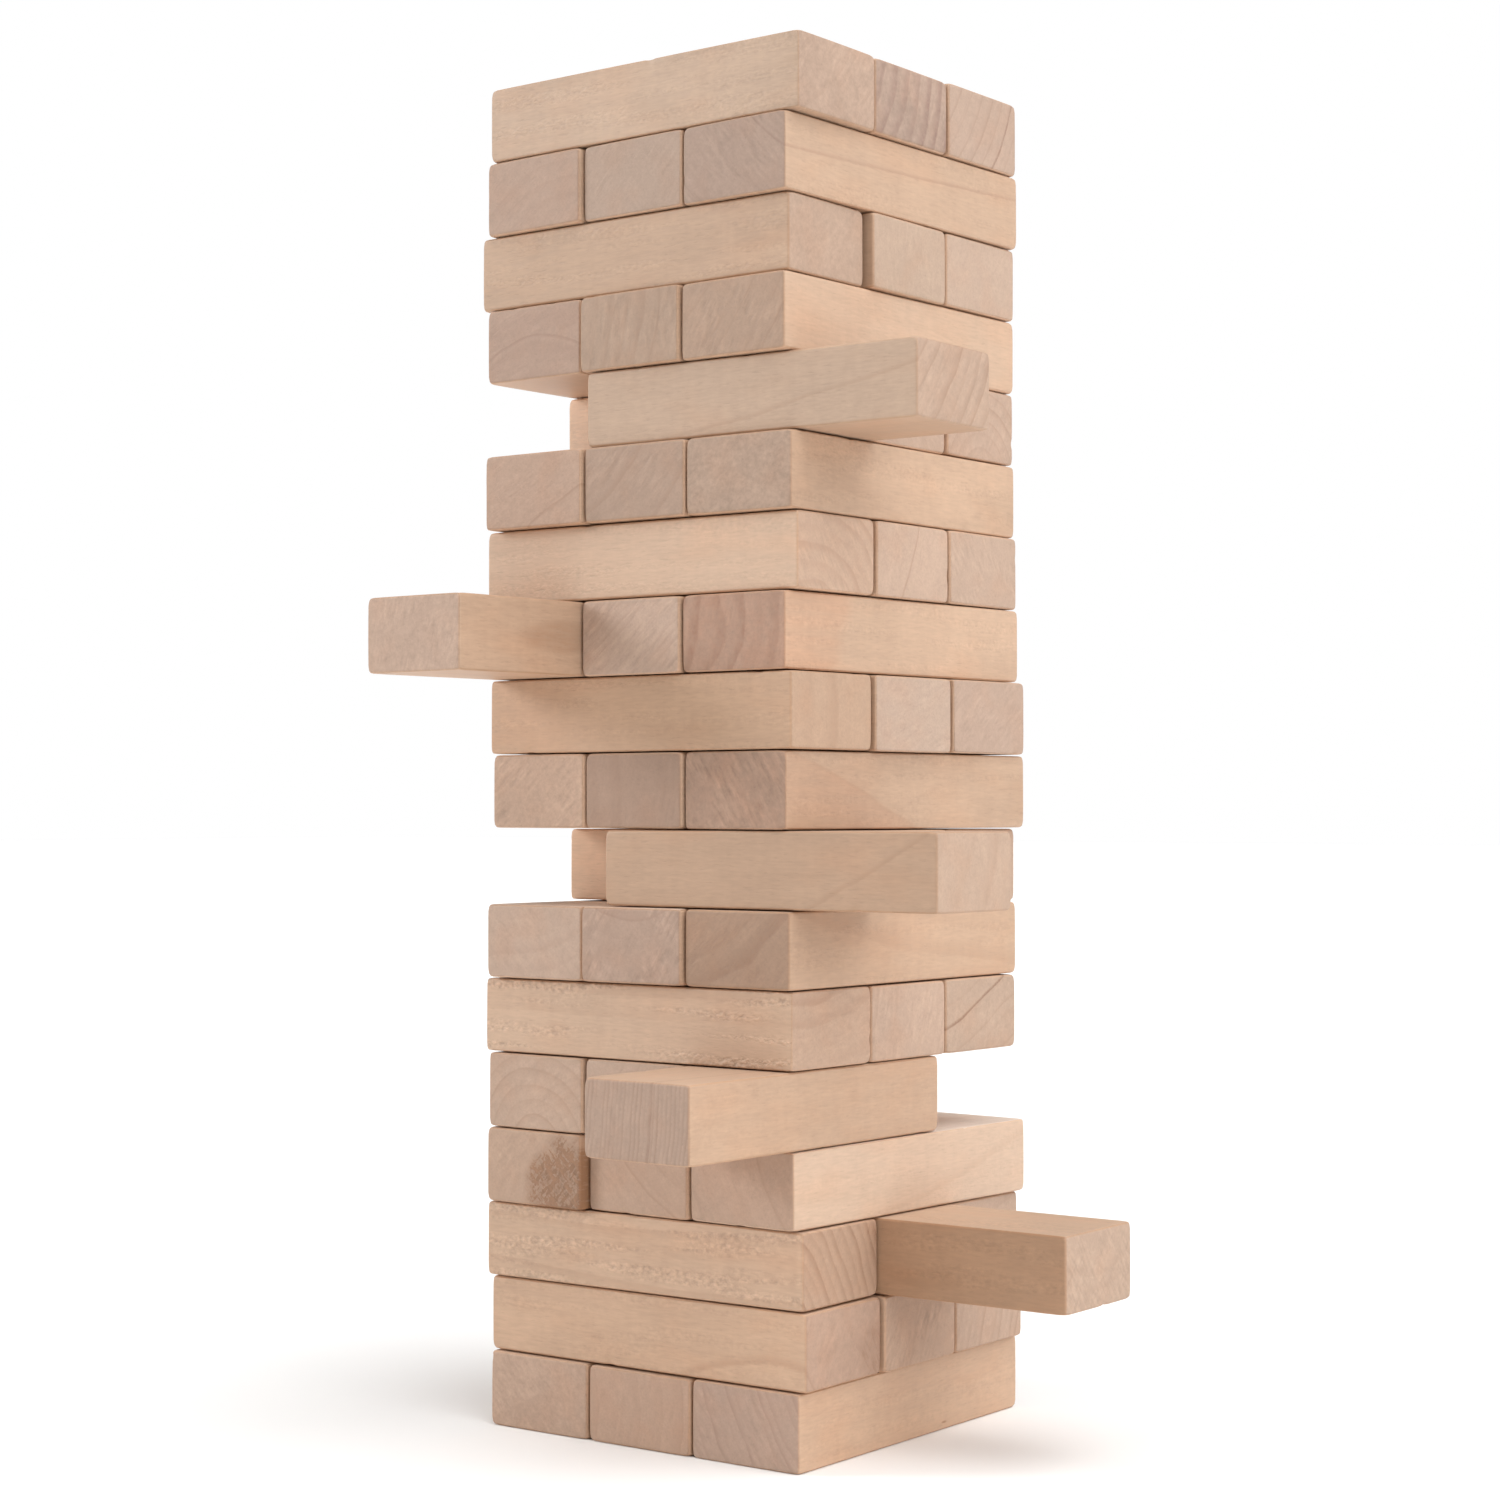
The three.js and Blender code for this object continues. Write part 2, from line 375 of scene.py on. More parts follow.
class Pine(Graph):
    """The node group that all the blocks' materials share. Each method adds one feature."""

    def __init__(self):
        tree = bpy.data.node_groups.new("pine", "ShaderNodeTree")
        super().__init__(tree)
        for name, (kind, value) in PINE_INPUTS.items():
            socket = tree.interface.new_socket(name, in_out="INPUT", socket_type=kind)
            socket.default_value = value
        for name, kind in PINE_OUTPUTS.items():
            tree.interface.new_socket(name, in_out="OUTPUT", socket_type=kind)
        self.given = self.add("NodeGroupInput").outputs
        self.point = self.attribute("grain", "Vector")
        self.axes = self.split(self.point)
        self.end = self.attribute("end")
        self.side = self.inverse(self.end)
        self.edge = self.attribute("edge")
        self.upward = self.attribute("upward")
        self.add_fibres()
        self.add_rings()
        self.add_stain()
        self.add_torn_grain()
        self.add_saw_marks()
        result = self.add("NodeGroupOutput")
        self.put(result.inputs["Color"], self.colour())
        self.put(result.inputs["Roughness"], self.roughness())
        self.put(result.inputs["Normal"], self.relief())

    def grain_noise(self, kind):
        return self.noise(self.point, self.given["Seed"], **kind)

    def add_fibres(self):
        """Fibres, streaks, ripples and cloudy tone. All but the ripples run along the grain."""
        self.fine = self.grain_noise(FINE)[0]
        self.streak = self.grain_noise(STREAK)[0]
        self.ripple = self.grain_noise(RIPPLE)[0]
        self.speckle = self.grain_noise(SPECKLE)[0]
        self.cloud, self.cloud_vector = self.grain_noise(CLOUD)
        self.fleck = self.ease(self.grain_noise(FLECK)[0], *FLECK_STEP)

    def heart(self):
        """Where the log's heart is at this w: it leans, and it sinks in an arch."""
        depth = self.axes[2]
        heart = self.vector("ADD", self.given["Pith"], self.scaled(self.given["Lean"], depth))
        bend = self.math("DIVIDE", self.math("SUBTRACT", depth, self.given["Bow Place"]), BOW_SPAN)
        bend = self.math("MINIMUM", bend, MOST_BOW)
        sink = self.product(bend, bend, self.given["Bow"])
        return self.vector("SUBTRACT", heart, self.joined(0.0, sink, 0.0))

    def add_rings(self):
        """Growth rings: cylinders round the heart, which stray a little.

        Each has a soft dark band and a thin dark line at its outer edge. One ring can be marked
        with a line of its own, and the wood inside it can be pinker.
        """
        wander = self.product(self.given["Wander"], WANDER)
        stray = self.scaled(self.grain_noise(STRAY)[1], wander)
        reach = self.vector("ADD", self.vector("SUBTRACT", self.point, self.heart()), stray)
        radius = self.vector("LENGTH", self.vector("MULTIPLY", reach, (1, 1, 0)))
        radius = self.weighted(self.fine, RING_FRAY, radius)

        turns = self.math("DIVIDE", radius, self.given["Ring"])
        turns = self.math("ADD", turns, self.given["Phase"])
        part = self.math("FRACT", turns)
        inward = self.product(self.inverse(part), self.given["Ring"])
        band = self.product(self.hump(part, *RING_BAND), self.given["Bands"])
        line = self.product(self.hump(inward, *RING_LINE), self.given["Lines"])

        pick = self.add("ShaderNodeTexWhiteNoise", noise_dimensions="1D")
        shift = self.math("FLOOR", self.split(self.given["Seed"])[1])
        self.put(pick.inputs["W"], self.math("ADD", self.math("FLOOR", turns), shift))
        vigour = self.math("POWER", pick.outputs["Value"], self.given["Spread"])
        patchy = self.weighted(self.math("ADD", self.fine, self.streak), RING_PATCHES, 1.0)
        less_figure = self.math("SUBTRACT", self.given["Figure"], 1.0)
        shown = self.weighted(self.side, less_figure, 1.0)
        ring = self.product(self.math("ADD", band, line), vigour, patchy, shown)

        past = self.math("SUBTRACT", radius, self.given["Mark Radius"])
        mark = self.product(self.hump(past, *MARK_LINE), self.given["Mark"], patchy)
        self.ring = self.math("MAXIMUM", self.math("ADD", ring, mark), 0.0)
        inside = self.inverse(self.ease(past, *MARK_INSIDE))
        streaky = self.weighted(self.streak, HEART_STREAKS, 1.0)
        self.heartwood = self.product(inside, self.given["Heartwood"], streaky)

    def add_stain(self):
        """A knot or a stain with a ragged outline, drawn out along the grain."""
        size = self.given["Stain Size"]
        away = self.vector("SUBTRACT", self.point, self.given["Stain Place"])
        away = self.vector("MULTIPLY", away, (1, 1, 1 / STAIN_LENGTH))
        ragged = self.scaled(self.cloud_vector, self.product(size, STAIN_RAGGED))
        away = self.vector("LENGTH", self.vector("ADD", away, ragged))
        away = self.math("DIVIDE", away, size)
        stain = self.product(self.inverse(self.ease(away, *STAIN_STEP)), self.given["Stain"])
        stain = self.product(stain, self.weighted(self.fine, STAIN_STREAKS, 1.0))
        self.stain = self.math("MAXIMUM", stain, 0.0)

    def add_torn_grain(self):
        """Rows of small raised and sunken bits on the sides."""
        rows = self.ease(self.grain_noise(TORN_ROWS)[0], *TORN_STEP)
        bits = self.grain_noise(TORN_BITS)[0]
        self.fuzz = self.product(rows, bits, self.given["Fuzz"], self.side)

    def hatch(self, angle):
        """Short dashes in rows that run at the angle across an end."""
        sine = self.math("SINE", angle)
        cosine = self.math("COSINE", angle)
        u, v, w = self.axes
        along = self.math("ADD", self.product(u, cosine), self.product(v, sine))
        across = self.math("SUBTRACT", self.product(v, cosine), self.product(u, sine))
        turned = self.joined(across, along, w)
        return self.noise(turned, self.given["Seed"], **SAW_DASHES)[0]

    def add_saw_marks(self):
        """Saw marks on the ends, and a second set that crosses them, mostly in a stain.

        A stain on an end is darkest along both sets.
        """
        worn = self.ease(self.grain_noise(SAW_WEAR)[0], *SAW_WEAR_STEP)
        marks = self.hatch(self.given["Saw Angle"])
        crossing_marks = self.hatch(self.product(self.given["Saw Angle"], -1.0))
        saw = self.product(marks, worn, self.given["Saw"])
        elsewhere = self.product(worn, CROSS_ELSEWHERE)
        strength = self.weighted(self.stain, CROSS_IN_STAIN, elsewhere)
        crossing = self.product(crossing_marks, self.given["Cross"], strength)
        self.saw = self.product(self.math("ADD", saw, crossing), self.end)
        grid = self.ease(self.math("MAXIMUM", marks, crossing_marks), *SAW_GRID_STEP)
        darker = self.weighted(grid, STAIN_ON_MARKS, STAIN_BETWEEN_MARKS)
        darker = self.weighted(self.end, darker, 1.0)
        self.stain = self.product(self.stain, darker)

    def colour(self):
        """The wood's tone, shaded by its fibres and marks, and tinted by everything else, which
        includes painted shade on the edges and painted light on the tops and undersides.
        """
        shade = self.weighted(self.fine, FINE_SHADE, 1.0)
        shade = self.weighted(self.streak, STREAK_SHADE, shade)
        speckled = self.weighted(self.end, END_SPECKLE_SHADE, SIDE_SPECKLE_SHADE)
        mottle = self.weighted(self.cloud, CLOUD_SHADE, self.product(self.speckle, speckled))
        shade = self.math("ADD", shade, self.product(mottle, self.given["Mottle"]))
        shade = self.math("ADD", shade, self.product(self.ripple, self.side, RIPPLE_SHADE))
        shade = self.weighted(self.fleck, FLECK_SHADE, shade)
        shade = self.weighted(self.fuzz, FUZZ_SHADE, shade)
        shade = self.weighted(self.saw, SAW_SHADE, shade)

        wood = self.mixed(self.given["Side Tone"], self.given["End Tone"], self.end)
        wood = self.tinted(wood, self.joined(shade, shade, shade), 1.0)
        wood = self.tinted(wood, self.given["Ring Tint"], self.ring)
        wood = self.tinted(wood, STAIN_TINT, self.stain)
        wood = self.tinted(wood, HEART_TINT, self.heartwood)
        blush = self.ease(self.split(self.cloud_vector)[1], *BLUSH_STEP)
        wood = self.tinted(wood, BLUSH_TINT, blush)
        # Painted shade: rounded edges are darkened and warmed like the shaded gaps between blocks;
        # the warmth is partly the side grain's own colour.
        wood = self.tinted(wood, EDGE_WARMTH_AND_GAP_SHADE_TINT, self.product(self.edge, EDGE_WARMTH_AND_GAP_SHADE_STRENGTH))
        # Painted light: upper sides are lightened and paled, as the lamps above light them.
        top = self.ease(self.upward, *LEVEL_STEP)
        wood = self.tinted(wood, TOP_LIGHT_PAINT_TINT, self.product(top, self.given["Top Light Paint"]))
        # Painted light: undersides are lightened, as light from the floor reaches them.
        under = self.ease(self.product(self.upward, -1.0), *LEVEL_STEP)
        return self.tinted(wood, UNDER_LIGHT_PAINT_TINT, under)

    def roughness(self):
        rough = self.weighted(self.end, END_ROUGHNESS, ROUGHNESS)
        rough = self.weighted(self.fine, FINE_ROUGHNESS, rough)
        return self.weighted(self.edge, EDGE_ROUGHNESS, rough)

    def relief(self):
        """The normal, from a height in mm."""
        height = self.product(self.fine, FINE_RELIEF)
        height = self.weighted(self.ring, RING_RELIEF, height)
        height = self.weighted(self.fleck, FLECK_RELIEF, height)
        height = self.weighted(self.fuzz, FUZZ_RELIEF, height)
        height = self.weighted(self.saw, SAW_RELIEF, height)
        bump = self.add("ShaderNodeBump")
        bump.inputs["Distance"].default_value = MM
        self.put(bump.inputs["Height"], height)
        return bump.outputs["Normal"]


# How the wood of each block that shows is grown and cut. A block is its course and its lane.
#   pith     direction in degrees and distance in mm from the middle of the end to the heart
#   through  a point on the end, (u, v), that a dark ring passes through
#   mark     a point (u, v, w) that one marked ring passes through, and the line's strength
#   heart    strength of the pinker wood inside the marked ring
#   lean     how the heart moves to the right and upwards for each mm into the block
#   bow      mm that the heart sinks in 50 mm, and the w where it is level
#   saw      direction of the saw marks in degrees, and their strength
#   cross    strength of the marks that cross them
#   stain    a stain's place (u, v, w), its size in mm and its strength
#   tone     brightness of the sides
#   warm     orange in the sides
#   end      brightness of the ends
#   mauve    grey in the ends, or tan where it is negative
#   rosy     red in the ends
#   top_light_paint  how much painted light the upper side gets, from 0 to 1
#   narrow   mm that the block is narrower than the others, on its right
# The other settings are the node group's inputs of the same names.
GRAIN = {
    "18_front": dict(pith=(135, 120), ring=7, bands=0.1, saw=(50, 1.0), tone=0.93, end=0.96,
                     warm=-0.8, mauve=0.0, mottle=0.35, fuzz=0.3, rosy=0.2),
    "18_middle": dict(pith=(160, 150), ring=9.5, through=(-3, -16), bands=0.7, lines=0.2,
                      spread=0.6, wander=3.5, mottle=0.45, mauve=0.9, end=0.89, saw=(70, 0.9),
                      rosy=0.5),
    "18_back": dict(pith=(151, 150), ring=8, through=(12, -12), bands=0.12, lines=0.45,
                    spread=0.7, mark=((14, -8, 0), 0.45), mauve=0.5, end=1.03, saw=(60, 0.6)),
    "17_left": dict(pith=(290, 70), ring=8, lines=0.1, bands=0.1, saw=(40, 0.5), mauve=0.5,
                    end=0.91, rosy=1.25),
    "17_middle": dict(pith=(184, 150), ring=3.5, bands=0.03, lines=0, saw=(48, 0.7), mauve=0.25,
                      end=0.92, rosy=-0.4),
    "17_right": dict(pith=(45, 110), ring=3, bands=0.1, lines=0, mark=((15, 11, 0), 0.35),
                     saw=(-46, 1.4), mauve=0.8, end=0.83, tone=0.95, warm=0.2, rosy=1.0),
    "16_front": dict(pith=(95, 120), ring=10, lines=0, bands=0.03, saw=(50, 0.5), end=0.97,
                     tone=0.88, warm=0.6, mauve=-0.25, mottle=0.3, fuzz=0.3, narrow=2.3),
    "16_middle": dict(pith=(182, 180), ring=5, lines=0, bands=0.06, saw=(88, 0.6), mauve=-0.5,
                      end=1.06, rosy=-1.25),
    "16_back": dict(pith=(100, 120), ring=9, lines=0, bands=0.03, saw=(50, 0.5), mauve=0.0,
                    end=1.11, rosy=-0.8),
    "15_left": dict(pith=(272, 60), ring=14, through=(2, 1), mark=((2, 3, 0), 0.35), bands=0.14,
                    lines=0, spread=0.3, mauve=0.7, end=0.87, saw=(20, 0.7), rosy=1.9),
    "15_middle": dict(pith=(173, 150), ring=9, bands=0.28, lines=0.1, spread=1,
                      mark=((17, 0, 0), 0.2), saw=(80, 1.1), mauve=-1.0, end=0.84, rosy=-0.25),
    "15_right": dict(pith=(140, 120), ring=7, bands=0.08, saw=(62, 1.2), mauve=-1.0, end=0.83,
                     tone=1.05, rosy=0.5),
    "14_front": dict(pith=(147, 170), ring=8, through=(-3, -14), bands=0.3, lines=0.25,
                     spread=0.5, figure=0.04, wander=2.5, mark=((-29.5, 5.6, 0), 0.2),
                     lean=(0.16, 0.0), mottle=0.2, tone=0.88, warm=-0.8, end=1.0, saw=(55, 0.8),
                     mauve=-0.25),
    # Painted light: a much lighter side tone for the light that reaches this recessed block.
    "14_middle": dict(tone=1.35, warm=-0.3),
    "14_back": dict(pith=(270, 30), ring=7, lines=0.25, bands=0.2, spread=0.6, saw=(60, 0.6),
                    end=1.02, rosy=0.25),
    # Painted light: the top that shows in the slot is lightened.
    "13_left": dict(pith=(305, 110), ring=14, lines=0, bands=0.03, mark=((15, -5, 0), 0.35),
                    mauve=0.1, end=0.97, saw=(30, 0.7), rosy=1.3, top_light_paint=0.8),
    # Painted light: the top that shows in the slot is lightened.
    "13_middle": dict(pith=(137, 110), ring=7, bands=0.22, lines=0.05, mauve=-0.2, end=0.85,
                      saw=(45, 1.1), rosy=0.4, top_light_paint=0.8),
    "13_right": dict(pith=(95, 90), ring=10, lines=0, bands=0.03, mottle=0.5, saw=(30, 0.9),
                     mauve=-0.5, end=0.88, tone=0.97, warm=0.5),
    "12_front": dict(pith=(245, 45), ring=8, bands=0.3, lines=0.05, spread=0.6, wander=4,
                     figure=0.1, tone=1.1, warm=-0.6, mauve=-0.6, end=1.14, saw=(-55, 1.0),
                     rosy=0.25),
    "12_middle": dict(pith=(159, 110), ring=16, lines=0, bands=0.04, mark=((-1, -2, 0), 0.4),
                      end=1.14, mauve=0.0, saw=(70, 0.5), rosy=-0.25),
    "12_back": dict(pith=(160, 150), ring=4, bands=0.06, lines=0, saw=(-60, 0.9), end=1.05,
                    mauve=0.0, rosy=-0.25),
    "11_left": dict(pith=(12, 55), ring=8, bands=0.04, lines=0, lean=(-0.2, 0.02), mottle=0.3,
                    saw=(75, 1.4), tone=0.93, warm=0.3, mauve=0.2, end=1.02,
                    stain=((29, 0, 68), 8, 0.3), rosy=0.5),
    "11_middle": dict(pith=(128, 140), ring=3.4, bands=0.22, lines=0, wander=4, saw=(38, 1.3),
                      mauve=0.5, end=1.09),
    "11_right": dict(pith=(168, 120), ring=11, bands=0.6, lines=0.05, spread=0.8, wander=6,
                     mottle=0.3, mauve=0.0, end=0.84, figure=0.1, saw=(80, 0.8),
                     mark=((29.5, 0, 38), 0.0), heart=0.75, lean=(-0.25, 0.0), tone=1.01,
                     rosy=2.25, warm=0.25),
    "10_front": dict(pith=(180, 200), ring=17, bands=0.25, mauve=-1.75, warm=1.75, tone=0.91,
                     end=1.0, saw=(88, 0.3)),
    "10_middle": dict(pith=(95, 100), ring=8, lines=0, bands=0.02, saw=(20, 0.8), mauve=0.25,
                      end=1.12, rosy=-1.0),
    "10_back": dict(pith=(130, 130), ring=5, bands=0.1, lines=0, saw=(40, 1.1), mauve=0.5,
                    end=1.0, rosy=0.25),
    "9_left": dict(pith=(130, 70), ring=10, lines=0.08, bands=0.12, wander=4, mottle=0.35,
                   mauve=-0.6, end=0.97, saw=(42, 1.2), rosy=0.9),
    "9_middle": dict(pith=(180, 160), ring=14, bands=0.3, mauve=-0.25, saw=(75, 0.8), end=0.71,
                     rosy=2.1),
    "9_right": dict(pith=(238, 120), ring=8, bands=0.08, lines=0, figure=0.1, wander=9, tone=0.9,
                    warm=0.5, end=0.77, mauve=-0.5, saw=(-58, 2.0), mottle=0.35,
                    mark=((29.5, -1, 50), 0.14), heart=0.55, lean=(0.0, -0.32), rosy=1.4),
    "8_front": dict(pith=(155, 191), ring=20, through=(17, 0), bands=0.15, lines=0, mauve=-0.5,
                    tone=0.81, warm=1.2, end=1.05, figure=0.2, lean=(0.33, 0.0),
                    mark=((-29.5, 9.6, 15), 0.22), saw=(88, 0.5), rosy=-0.5),
    # Painted light: a lighter, warmer side tone for the light that reaches this recessed block.
    "8_middle": dict(tone=1.18, warm=1.25),
    # Painted light: the top that shows in the slot is lightened.
    "7_left": dict(pith=(100, 110), ring=9, lines=0, saw=(-45, 0.6), mauve=0.25, end=1.07,
                   mottle=0.1, rosy=-0.25, top_light_paint=0.8),
    # Painted light: the top that shows in the slot is lightened.
    "7_middle": dict(pith=(90, 60), ring=8, lines=0.25, bands=0.12, saw=(58, 1.6), cross=1.6,
                     mauve=0.5, end=0.89, rosy=1.0, mottle=0.1, top_light_paint=0.8),
    "7_right": dict(pith=(120, 90), ring=13, bands=0.4, wander=4, tone=0.94, warm=0.8, end=0.7,
                    mauve=-1.7, lean=(0.2, 0.0), figure=0.5, saw=(45, 0.8), rosy=1.75),
    "6_front": dict(pith=(100, 130), ring=10, bands=0.3, lines=0.05, fuzz=0.9, mauve=-0.8,
                    end=1.04, tone=1.0, warm=0.0, saw=(12, 0.8), rosy=0.5),
    "6_middle": dict(pith=(165, 150), ring=5, bands=0.12, lines=0, saw=(75, 1.0), mauve=0.0,
                     end=1.08),
    "6_back": dict(pith=(113, 200), ring=5.5, lines=0.2, bands=0.06, spread=4,
                   mark=((-1, 5.4, 0), 1.1), mauve=-0.5, end=1.0, saw=(75, 0.6), rosy=-0.75),
    "5_left": dict(pith=(274, 25), ring=7, lines=0.2, bands=0.15, spread=0.5, end=1.0,
                   saw=(30, 0.6), mauve=-0.3),
    "5_middle": dict(pith=(140, 90), ring=8, lines=0.3, saw=(50, 0.5)),
    "5_right": dict(pith=(172, 240), ring=2.3, bands=0.4, lines=0.0, spread=0.5, figure=0.1,
                    mark=((9, 0, 0), 0.5), lean=(0.06, 0.0), mauve=0.2, end=0.86, tone=0.92,
                    warm=0.75, saw=(82, 0.9), rosy=0.5),
    "4_left": dict(pith=(329, 60), ring=8, bands=0.12, lines=0.05, mauve=-0.9,
                   stain=((31, -19, 0), 37, 1.2), end=0.93, saw=(45, 0.8), cross=0.8, rosy=0.5),
    "4_middle": dict(pith=(45, 100), ring=9, lines=0.1, bands=0.1, mark=((4, -5, 0), 0.3),
                     end=0.92, saw=(-50, 0.6), mauve=-0.6, rosy=1.0),
    # Painted light: the top that shows in the slot is lightened in full.
    "4_right": dict(pith=(20, 100), ring=8, bands=0.1, lines=0.0, figure=0.1, lean=(0.1, 0.0),
                    mark=((29.5, -14, 74), 0.16), tone=1.14, warm=-1.5, end=0.93, saw=(-60, 0.5),
                    mauve=-0.4, rosy=0.75, top_light_paint=1.0),
    "3_front": dict(pith=(208, 80), ring=5.5, bands=0.5, lines=0.12, spread=0.4, fuzz=0.75,
                    mauve=-1.25, figure=0.35, end=0.91, tone=0.98, warm=0.3, saw=(60, 0.6),
                    stain=((31, 10, 0), 14, 0.25), rosy=1.0),
    # Painted shade: a darker, more orange side tone for the shadow its side sits in, and painted
    # light on its top.
    "3_middle": dict(pith=(95, 90), ring=7, bands=0.1, lines=0, fuzz=0.4, saw=(-50, 1.4),
                     cross=1.6, mauve=-0.5, end=1.0, warm=3.2, tone=0.79,
                     stain=((-29.5, -8, 72), 5, 0.12), rosy=-0.5, top_light_paint=1.0),
    "2_front": dict(pith=(30, 70), ring=11, lines=0.1, bands=0.12, lean=(-0.02, 0.0),
                    bow=(13.5, 22), mark=((-29.5, -2.6, 20), 0.28), figure=0.1, mottle=0.2,
                    warm=1.0, tone=0.99, stain=((24, -7, 0), 15, 0.28), mauve=0.0, end=0.9,
                    saw=(60, 0.8), rosy=2.0),
    "2_middle": dict(pith=(164, 150), ring=3, bands=0.15, lines=0, saw=(62, 1.8), cross=1.2,
                     mauve=-0.6, end=0.99, rosy=0.5),
    "2_back": dict(pith=(165, 150), ring=5, bands=0.2, lines=0.25, saw=(72, 0.8), end=1.0),
    "1_left": dict(pith=(100, 100), ring=8, lines=0, bands=0.03, saw=(-45, 1.0), mauve=-0.25,
                   mottle=0.3, end=1.0, rosy=0.6),
    "1_middle": dict(pith=(180, 170), ring=12, bands=0.15, mauve=-0.3, end=0.97, saw=(85, 0.6),
                     rosy=1.5),
    "1_right": dict(pith=(27, 110), ring=4.5, through=(-10, -2), bands=0.28, lines=0.08,
                    spread=0.7, figure=0.15, saw=(-50, 0.9), mauve=0.8, end=0.94, warm=0.75,
                    tone=0.99, stain=((29.5, -14, 117), 0.7, 0.8), rosy=1.25),
}


NOISE_SHIFT = (10, 90)  # each block reads the noise at a place of its own


def random_cut(rng):
    """Settings for wood that the photo doesn't show."""
    return dict(
        pith=(rng.uniform(0, 360), rng.uniform(50, 170)),
        ring=rng.uniform(4, 11),
        bands=rng.uniform(0.05, 0.25),
        lines=rng.uniform(0.0, 0.2),
        spread=rng.uniform(0.8, 2.0),
        figure=rng.uniform(0.2, 0.5),
        wander=rng.uniform(1.5, 3.5),
        mottle=rng.uniform(0.1, 0.2),
        fuzz=rng.uniform(0.0, 0.3),
        lean=(rng.uniform(-0.08, 0.08), rng.uniform(-0.02, 0.02)),
        saw=(rng.uniform(-70, 70), rng.uniform(0.3, 0.9)),
        tone=rng.uniform(0.97, 1.03),
        warm=rng.uniform(-0.3, 0.3),
        end=rng.uniform(0.97, 1.03),
        mauve=rng.uniform(-0.3, 0.3),
    )


def growth_values(cut, phase):
    """The node group's inputs that say how the wood grew."""
    direction, distance = cut["pith"]
    turn = math.radians(direction)
    pith = (distance * math.cos(turn), distance * math.sin(turn), 0)
    if "through" in cut:
        phase = -math.dist(cut["through"], pith[:2]) / cut["ring"] % 1
    (across, up, inwards), mark = cut.get("mark", ((0, 0, 0), 0))
    bow, bow_place = cut.get("bow", (0, 0))
    heart = (
        pith[0] + cut["lean"][0] * inwards,
        pith[1] + cut["lean"][1] * inwards - bow * ((inwards - bow_place) / BOW_SPAN) ** 2,
    )
    return {
        "Pith": pith,
        "Lean": (*cut["lean"], 0),
        "Bow": bow,
        "Bow Place": bow_place,
        "Ring": cut["ring"],
        "Phase": phase,
        "Bands": cut["bands"],
        "Lines": cut["lines"],
        "Spread": cut["spread"],
        "Figure": cut["figure"],
        "Mark Radius": math.dist((across, up), heart),
        "Mark": mark,
        "Heartwood": cut.get("heart", 0),
        "Wander": cut["wander"],
    }


def surface_values(cut):
    """The node group's inputs that say how the wood is sawn, stained and tinted, and how much
    painted light its top gets.
    """
    place, size, stain = cut.get("stain", ((0, 0, 0), 10, 0))
    warm = 1 + cut["warm"] * WARM_STEP
    mauve = 1 + cut["mauve"] * MAUVE_STEP
    rosy = 1 + cut.get("rosy", 0) * ROSY_STEP
    greyness = min(max(cut["mauve"], 0), 1)
    ring_tint = np.array(RING_TINT) * (1 - greyness) + np.array(GREY_RING_TINT) * greyness
    return {
        "Top Light Paint": cut.get("top_light_paint", TOP_LIGHT_PAINT_AMOUNT),
        "Mottle": cut["mottle"],
        "Fuzz": cut["fuzz"],
        "Stain": stain,
        "Stain Place": place,
        "Stain Size": size,
        "Saw Angle": math.radians(cut["saw"][0]),
        "Saw": cut["saw"][1],
        "Cross": cut.get("cross", 0),
        "Ring Tint": (*ring_tint, 1),
        "Side Tone": (*(np.array(SIDE_TONE) * cut["tone"] * warm), 1),
        "End Tone": (*(np.array(END_TONE) * cut["end"] * mauve * rosy), 1),
    }


def pine_material(block, group, rng):
    """A block's own cut of the pine. What its row in GRAIN leaves out is drawn at random."""
    drawn = random_cut(rng)
    seed = rng.uniform(*NOISE_SHIFT, 3)
    phase = rng.uniform()
    cut = {**drawn, **GRAIN.get(block, {})}
    material = bpy.data.materials.new("pine_" + block)
    material.use_nodes = True
    tree = material.node_tree
    shader = tree.nodes["Principled BSDF"]
    node = tree.nodes.new("ShaderNodeGroup")
    node.node_tree = group
    for name, value in {"Seed": seed, **growth_values(cut, phase), **surface_values(cut)}.items():
        node.inputs[name].default_value = value
    tree.links.new(node.outputs["Color"], shader.inputs["Base Color"])
    tree.links.new(node.outputs["Roughness"], shader.inputs["Roughness"])
    tree.links.new(node.outputs["Normal"], shader.inputs["Normal"])
    shader.inputs["Specular IOR Level"].default_value = SPECULAR
    return material


# ---- One block --------------------------------------------------------------------------

# The mesh's rows, in mm.
EDGE_RADIUS = (0.8, 1.2)
EDGE_ANGLES = (0, 15, 30, 45)  # degrees round a quarter edge, from a flat to its middle
SUPPORT = (2.6, 1.2, 0.4)  # rows close to each edge, which keep the flats flat in the shading
ROW_STEP = (12, 8, 7)  # between the rows on the flats, along the length, width and height
CLOSEST_ROWS = 0.05
DENT_ROWS = (-1, -0.66, -0.33, 0, 0.33, 0.66, 1)  # rows across a dent, in its radii

# Wear, in mm where nothing else is said. Two numbers are a range.
EDGE_WEAR = (0.02, 0.18)
MOST_EDGE_WEAR = 0.6
UNEVEN_WEAR = ((70, 0.8), (9, 0.3))  # wavelengths, and strengths as a share of the wear
RIPPLE_WAVES = 5
RIPPLE_TURN = 6.3  # radians, about a full turn
CORNER_WEAR = (0.5, 1.1)
CORNER_REACH = 5
DENT_COUNT = (2, 6)  # at least the first and fewer than the second
DENT_EDGES = (0.6, 0.25, 0.15)  # the share of dents on edges along the length, width and height
DENT_SPREAD = 0.85  # how far along its edge a dent can be, from the middle
DENT_RADIUS = (1.8, 3.6)
DENT_DEPTH = (0.15, 0.5)

